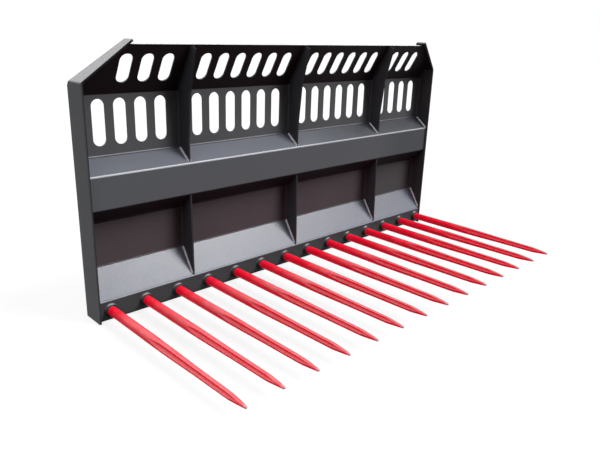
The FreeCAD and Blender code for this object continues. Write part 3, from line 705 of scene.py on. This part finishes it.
# %% [markdown]
# The beads have to follow the steelwork. Their places could be searched for in
# its meshes, but it is simpler to repeat its drawing, in millimetres: across,
# back from the face of the panel (a minus is forward), and up. The corners of
# the beam and the shelves are those of the side view.

# %% Places on the drawing
HALF = 1200
RIBS = (-700, 0, 700)
RIB_HALF = 4
BEAM_TOP, BEAM_BROW = (0, 737), (-84, 671)
BEAM_CHIN, BEAM_FOOT = (-84, 521), (0, 445)
SHELF_TOP, SHELF_FOOT = (0, 237), (-85, 106)
FOLD = 1000
HOOD_LEAN = math.radians(30)

LEFTWARD, RIGHTWARD = Vector((-1, 0, 0)), Vector((1, 0, 0))
FORWARD, BACKWARD = Vector((0, -1, 0)), Vector((0, 1, 0))
UPWARD, DOWNWARD = Vector((0, 0, 1)), Vector((0, 0, -1))
ALONG_HOOD = Vector((0, -math.sin(HOOD_LEAN), math.cos(HOOD_LEAN)))
OFF_HOOD = Vector((0, -math.cos(HOOD_LEAN), -math.sin(HOOD_LEAN)))
END_WALLS = ((-HALF, RIGHTWARD), (HALF, LEFTWARD))
BAYS = tuple(zip((-HALF, *[x + RIB_HALF for x in RIBS]), (*[x - RIB_HALF for x in RIBS], HALF)))


def spot(across, depth, height):
    """A place on the fork from its drawing's millimetres."""
    return Vector((across / 1000, FACE + depth / 1000, height / 1000))


def slope(low, high):
    """Direction from one drawn corner of a side view to another."""
    return Vector((0, high[0] - low[0], high[1] - low[1])).normalized()


def off_sheet(along_sheet):
    """Direction straight up off a sheet that slopes forward."""
    off = along_sheet.cross(RIGHTWARD).normalized()
    return -off if off.z < 0 else off


def walls_of_bays():
    """Each upright wall of a bay: where it stands and which way it looks into the bay."""
    for left, right in BAYS:
        yield left, RIGHTWARD
        yield right, LEFTWARD


print("bays:", BAYS)

# %% [markdown]
# The sloping top of the beam is the shelf of the upper bays, and its sides are
# welded first. One long bead would run through the ribs, so each bay gets two of
# its own. At a rib they stop short of the beam's front fold, where the rib ends.

# %% Side welds of the upper shelves
SHELF_SIDE_LEG = 0.007
BEAM_DEPTH, BEAM_FALL = BEAM_TOP[0] - BEAM_BROW[0], BEAM_TOP[1] - BEAM_BROW[1]
RIB_DEPTH = 76

shelf_out = slope(BEAM_TOP, BEAM_BROW)
bm = bmesh.new()
for x, inward in walls_of_bays():
    reach = BEAM_DEPTH if abs(x) == HALF else RIB_DEPTH
    brow = spot(x, -reach, BEAM_TOP[1] - BEAM_FALL * reach / BEAM_DEPTH)
    straight_weld(bm, spot(x, *BEAM_TOP), brow, inward, off_sheet(shelf_out), SHELF_SIDE_LEG)
make_piece("upper_shelf_welds", bm, WELD_HIGHLIGHT_PAINT)

# %% [markdown]
# Then come the bead along the back of each shelf, and those up both sides of
# every rib, first on the panel and then under the hood. The sloping top of each
# end plate is welded to the underside of the hood. That joint runs aslant, so
# the directions of its two toes are worked out from its own line.

# %% Welds of the slotted panel
SHELF_BACK_LEG = 0.0055
PANEL_LEG = 0.005
PLATE_RISE, RIB_RISE = 56, 230
CORNER_LOW, CORNER_HIGH, CORNER_HIGH_PLACE = 1053.3, 1206, 1018

bm = bmesh.new()
for left, right in BAYS:
    ends = spot(left, *BEAM_TOP), spot(right, *BEAM_TOP)
    straight_weld(bm, *ends, UPWARD, shelf_out, SHELF_BACK_LEG)
for x, inward in walls_of_bays():
    fold = spot(x, 0, FOLD)
    rise = PLATE_RISE if abs(x) == HALF else RIB_RISE
    straight_weld(bm, spot(x, *BEAM_TOP), fold, inward, FORWARD, PANEL_LEG)
    straight_weld(bm, fold, fold + ALONG_HOOD * rise / 1000, inward, OFF_HOOD, PANEL_LEG)
for side in (-1, 1):
    start = spot(side * HALF, -(CORNER_LOW - FOLD) * math.tan(HOOD_LEAN), CORNER_LOW)
    end = spot(side * CORNER_HIGH_PLACE, -(CORNER_HIGH - FOLD) * math.tan(HOOD_LEAN), CORNER_HIGH)
    along = (end - start).normalized()
    on_plate = FORWARD - FORWARD.dot(along) * along
    on_hood = OFF_HOOD.cross(along)
    if on_hood.z > 0:
        on_hood.negate()
    straight_weld(bm, start, end, on_plate, on_hood, PANEL_LEG)
make_piece("panel_welds", bm, DULL_WELD)

# %% [markdown]
# Below the beam: the two side edges and the back edge of each shelf, the foot
# of the beam and the joints of ribs and panel. At the end plates the faces of
# the beam and of the tube are welded too.

# %% Welds of the lower bays
LOW_SIDE_LEG, LOW_BACK_LEG = 0.0065, 0.0035
FOOT_LEG, LOW_PANEL_LEG = 0.0045, 0.0045
BEAM_END_LEG, TUBE_END_LEG = 0.004, 0.0035
SHELF_BEAD_ENDS = (-83, 109)
BEAM_FACE_BEAD = (-84, 524), (-84, 668)
TUBE_FACE_BEAD = (-90, 16), (-90, 96)

low_out = slope(SHELF_TOP, SHELF_FOOT)
bm = bmesh.new()
for x, inward in walls_of_bays():
    ends = spot(x, *SHELF_TOP), spot(x, *SHELF_BEAD_ENDS)
    straight_weld(bm, *ends, inward, off_sheet(low_out), LOW_SIDE_LEG)
make_piece("lower_shelf_welds", bm, WELD_HIGHLIGHT_PAINT)

foot_out = slope(BEAM_FOOT, BEAM_CHIN)
bm = bmesh.new()
for left, right in BAYS:
    shelf_back = spot(left, *SHELF_TOP), spot(right, *SHELF_TOP)
    beam_foot = spot(left, *BEAM_FOOT), spot(right, *BEAM_FOOT)
    straight_weld(bm, *shelf_back, UPWARD, low_out, LOW_BACK_LEG)
    straight_weld(bm, *beam_foot, DOWNWARD, foot_out, FOOT_LEG)
for x, inward in walls_of_bays():
    ends = spot(x, *SHELF_TOP), spot(x, *BEAM_FOOT)
    straight_weld(bm, *ends, inward, FORWARD, LOW_PANEL_LEG)
for x, inward in END_WALLS:
    for places, leg in ((BEAM_FACE_BEAD, BEAM_END_LEG), (TUBE_FACE_BEAD, TUBE_END_LEG)):
        low, high = [spot(x, *place) for place in places]
        straight_weld(bm, low, high, inward, FORWARD, leg)
make_piece("lower_welds", bm, DULL_WELD)

# %% [markdown]
# The tines are the heart of the tool. Those of the steelwork are a little stout
# towards the point and end too sharp. A real one is rolled: round and straight
# at its root, then slimmer along three long hollows, and drawn out to a blunt
# cone. Scaling a mesh can't give that, so each is skinned again from rings. The
# outline gives each ring's radius at a distance in front of the tube. Its first
# rows are the shank and the collar.

# %% Outline of a tine
TINE_OUTLINE = (  # distance in front of the tube and radius, in millimetres
    (-148, 12.5), (-147, 13.5), (-124, 13.5), (-123.9, 16), (12, 22), (400, 22),
    (450, 21.6), (500, 20.9), (550, 20), (600, 18.9), (650, 17.8), (700, 17.1),
    (750, 16.6), (800, 16.1), (850, 15.5), (882, 14.9), (890, 14.2), (905, 12.7),
    (920, 11.1), (940, 9), (955, 7.3), (965, 5.9), (969, 4.6), (971, 2.8), (972, 0.8),
)


def tine_radius(ahead):
    """Radius of the tine at a distance in front of the tube, both in millimetres."""
    for (low, first), (high, second) in zip(TINE_OUTLINE, TINE_OUTLINE[1:]):
        if low <= ahead <= high:
            return first + (second - first) * (ahead - low) / (high - low)
    return 0


print("tine is", 2 * tine_radius(400), "mm thick at 400 mm and", 2 * tine_radius(700), "at 700 mm")

# %% [markdown]
# Three long cutters and a boolean would leave ragged edges on so fine a skin. So
# a ring starts as a circle, and each hollow takes its share of it, as if a round
# cutter had been run along the tine: where a ray from the axis meets the cutter
# sooner than the circle, it ends there. The corner between the two is blunt, as
# a rolled edge is, so the smaller distance is taken with a soft minimum.

# %% Hollows of a tine
HOLLOW_STARTS, HOLLOW_FULL = 345, 455
HOLLOW_FADES, HOLLOW_ENDS = 860, 940
HOLLOW_PLACES = [math.radians(angle) for angle in (-90, 30, 150)]
HOLLOW_DEPTH, HOLLOW_ROUND = 0.36, 0.6
LEAST_BLUNT, MORE_BLUNT = 0.05, 0.45


def ease(value, low, high):
    """0 below low, 1 above high, and a soft curve between them."""
    share = max(0, min(1, (value - low) / (high - low)))
    return share * share * (3 - 2 * share)


def hollow_share(ahead):
    """How much of its full depth a hollow has at a distance in front of the tube."""
    return ease(ahead, HOLLOW_STARTS, HOLLOW_FULL) * (1 - ease(ahead, HOLLOW_FADES, HOLLOW_ENDS))


def tine_reach(turn, radius, share):
    """Distance from the axis to the skin at one angle, with the hollows taken out."""
    reach = radius
    cutter = HOLLOW_ROUND * radius
    centre = radius * (1 - HOLLOW_DEPTH * share) + cutter
    for place in HOLLOW_PLACES:
        miss = centre * math.sin(turn - place)
        if share > 0 and math.cos(turn - place) > 0 and abs(miss) < cutter:
            cut = centre * math.cos(turn - place) - math.sqrt(cutter ** 2 - miss ** 2)
            blunt = LEAST_BLUNT + MORE_BLUNT * share
            corner = blunt * math.log(1 + math.exp(-abs(reach - cut) / blunt))
            reach = min(reach, cut) - corner
    return reach


print("hollows are", round(HOLLOW_DEPTH * tine_radius(600), 1), "mm deep at 600 mm")

# %% [markdown]
# The rings stand closer where the hollows begin, because the skin changes
# fastest there. Each new tine takes the place of the one from the steelwork.

# %% Forged tines
TINE_NAMES = sorted(name for name in NODES if name.startswith("tine_") and name != "tine_nuts")
RING_POINTS = 90
CLOSE_RINGS, WIDE_RINGS = 5, 25


def tine_rings(middle):
    """Rings of points round one tine, from its shank's end to its tip."""
    places = {place for place, radius in TINE_OUTLINE}
    places.update(range(HOLLOW_STARTS, HOLLOW_FULL, CLOSE_RINGS))
    places.update(range(HOLLOW_FULL, HOLLOW_ENDS, WIDE_RINGS))
    for ahead in sorted(places):
        radius, share = tine_radius(ahead), hollow_share(ahead)
        centre = Vector((middle.x, TUBE_FRONT - ahead / 1000, middle.z))
        ring = []
        for k in range(RING_POINTS):
            turn = 2 * math.pi * k / RING_POINTS
            away = Vector((math.cos(turn), 0, math.sin(turn)))
            ring.append(centre + away * tine_reach(turn, radius, share) / 1000)
        yield ring


for name in TINE_NAMES:
    bm = bmesh.new()
    skin(bm, list(tine_rings(middle_of(name))), False)
    tine = make_piece("forged_" + name, bm, TINE_RED)
    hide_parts(name)

# %% [markdown]
# Each tine sits in a sleeve that passes through the bottom tube and is welded
# to it all round, in front and behind. A torus would be even all the way, so the
# rings of a bead go round here too, with their ripples.

# %% Sleeve welds
SLEEVE_RADIUS = 0.030
SLEEVE_FRONT_LEG, SLEEVE_BACK_LEG = 0.003, 0.0035

bm = bmesh.new()
for name in TINE_NAMES:
    middle = middle_of(name.replace("tine", "sleeve"))
    front = Vector((middle.x, TUBE_FRONT, middle.z))
    back = Vector((middle.x, TUBE_BACK, middle.z))
    ring_weld(bm, front, FORWARD, SLEEVE_RADIUS, SLEEVE_FRONT_LEG)
    ring_weld(bm, back, BACKWARD, SLEEVE_RADIUS, SLEEVE_BACK_LEG)
make_piece("sleeve_welds", bm, DULL_WELD)

# %% [markdown]
# Behind, the panel stands on the tube and its two sheets meet in a flat butt
# weld half way up. The hitch plates carry the whole load, so they have the
# thickest beads, down both sides, and the end plates are welded along the panel.

# %% Welds of the back
SHEET = 6
TUBE_HIGH, TUBE_REAR = 106, 30
PANEL_SEAM = 600
HITCH_PLACE, HITCH_HALF, HITCH_CROWN = 520, 10, 705
HITCH_FOOT, HITCH_SHOULDER = 18, 102
SEAM_LEG, PLATE_LEG = 0.0045, 0.005
HITCH_PANEL_LEG, HITCH_TUBE_LEG = 0.0075, 0.0065

bm = bmesh.new()
tube_joint = spot(-HALF, SHEET, TUBE_HIGH), spot(HALF, SHEET, TUBE_HIGH)
seam = spot(-HALF, SHEET, PANEL_SEAM), spot(HALF, SHEET, PANEL_SEAM)
straight_weld(bm, *tube_joint, UPWARD, BACKWARD, SEAM_LEG)
straight_weld(bm, *seam, UPWARD, DOWNWARD, SEAM_LEG, BACKWARD)
for middle in (-HITCH_PLACE, HITCH_PLACE):
    for side, away in ((-1, LEFTWARD), (1, RIGHTWARD)):
        x = middle + side * HITCH_HALF
        on_panel = spot(x, SHEET, TUBE_HIGH), spot(x, SHEET, HITCH_CROWN)
        on_tube = spot(x, TUBE_REAR, HITCH_FOOT), spot(x, TUBE_REAR, HITCH_SHOULDER)
        straight_weld(bm, *on_panel, away, BACKWARD, HITCH_PANEL_LEG)
        straight_weld(bm, *on_tube, away, BACKWARD, HITCH_TUBE_LEG)
for x, inward in END_WALLS:
    ends = spot(x, SHEET, TUBE_HIGH), spot(x, SHEET, FOLD)
    straight_weld(bm, *ends, inward, BACKWARD, PLATE_LEG)
make_piece("back_welds", bm, DULL_WELD)

# %% [markdown]
# The steelwork brings each nut as a bare hexagon. A real one is turned first,
# so its six corners end in a chamfer that shows as curved edges, and its bore
# has a countersink. Cutting a cone into a hexagon needs no boolean: each corner
# and each flat is drawn at several angles, and the chamfer drops where the
# outline runs further from the axis than the turned circle.

# %% Nuts
NUT_FLATS, NUT_BORE = 0.041, 0.0135
NUT_SIDE_POINTS = 8
NUT_FACE = 0.97
NUT_CHAMFER = math.radians(30)
COUNTERSINK = 0.002
NUT_LOW, NUT_HIGH = [corner.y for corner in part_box("tine_nuts")]
SHARP_CORNER = 25


def hexagon_reach(turn):
    """Distance from the axis to the side of the hexagon at one angle."""
    past_flat = (turn + math.pi / 6) % (math.pi / 3) - math.pi / 6
    return NUT_FLATS / 2 / math.cos(past_flat)


def nut(bm, centre, low, high):
    """One nut round an axis along Y, from its low to its high end."""
    face = NUT_FLATS / 2 * NUT_FACE
    rings = []
    count = 6 * NUT_SIDE_POINTS
    for i in range(count):
        turn = 2 * math.pi * i / count + math.pi / 6
        across = Vector((math.cos(turn), 0, math.sin(turn)))
        reach = hexagon_reach(turn + math.pi / 6)
        drop = (reach - face) * math.tan(NUT_CHAMFER)
        profile = (
            (NUT_BORE, low + COUNTERSINK), (NUT_BORE + COUNTERSINK, low),
            (face, low), (reach, low + drop), (reach, high - drop), (face, high),
            (NUT_BORE + COUNTERSINK, high), (NUT_BORE, high - COUNTERSINK),
        )
        rings.append([Vector((centre.x, y, centre.z)) + across * away for away, y in profile])
    skin(bm, rings, True)


bm = bmesh.new()
for name in TINE_NAMES:
    nut(bm, middle_of(name), NUT_LOW, NUT_HIGH)
nuts = make_piece("hex_nuts", bm, NUT_ZINC, SHARP_CORNER)
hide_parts("tine_nuts")

# %% [markdown]
# The end of each tine stands out of its nut as a fine metric thread. On the
# steelwork it is a plain rod. A bump would leave its outline smooth, so a ridge
# is wound round it: one small triangle, carried along a helix, that starts
# inside the nut and runs to the rod's end.

# %% Thread crests
THREAD_ROD = 0.0135
THREAD_PITCH = 0.0015
THREAD_STEPS = 40
CREST, CREST_SINKS = 0.0005, 0.0002
CREST_HALF = THREAD_PITCH * 0.45
INSIDE_NUT = 0.002
CREST_CORNER = 20


def thread(bm, centre, start, end):
    """A helix of triangular section round an axis along Y."""
    turns = (end - start) / THREAD_PITCH - 1
    rings = []
    for i in range(round(turns * THREAD_STEPS) + 1):
        turn = 2 * math.pi * i / THREAD_STEPS
        away = Vector((math.cos(turn), 0, math.sin(turn)))
        on_axis = Vector((centre.x, start + THREAD_PITCH * (0.5 + i / THREAD_STEPS), centre.z))
        foot = on_axis + away * (THREAD_ROD - CREST_SINKS)
        top = on_axis + away * (THREAD_ROD + CREST)
        rings.append([foot - BACKWARD * CREST_HALF, top, foot + BACKWARD * CREST_HALF])
    skin(bm, rings, False)


bm = bmesh.new()
for name in TINE_NAMES:
    thread(bm, middle_of(name), NUT_HIGH - INSIDE_NUT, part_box(name)[1].y)
make_piece("thread_crests", bm, TINE_RED, CREST_CORNER)

# %% [markdown]
# Last, the picture is set to show its colours in the standard view.

# %% Standard view of colours
bpy.context.scene.view_settings.view_transform = "Standard"
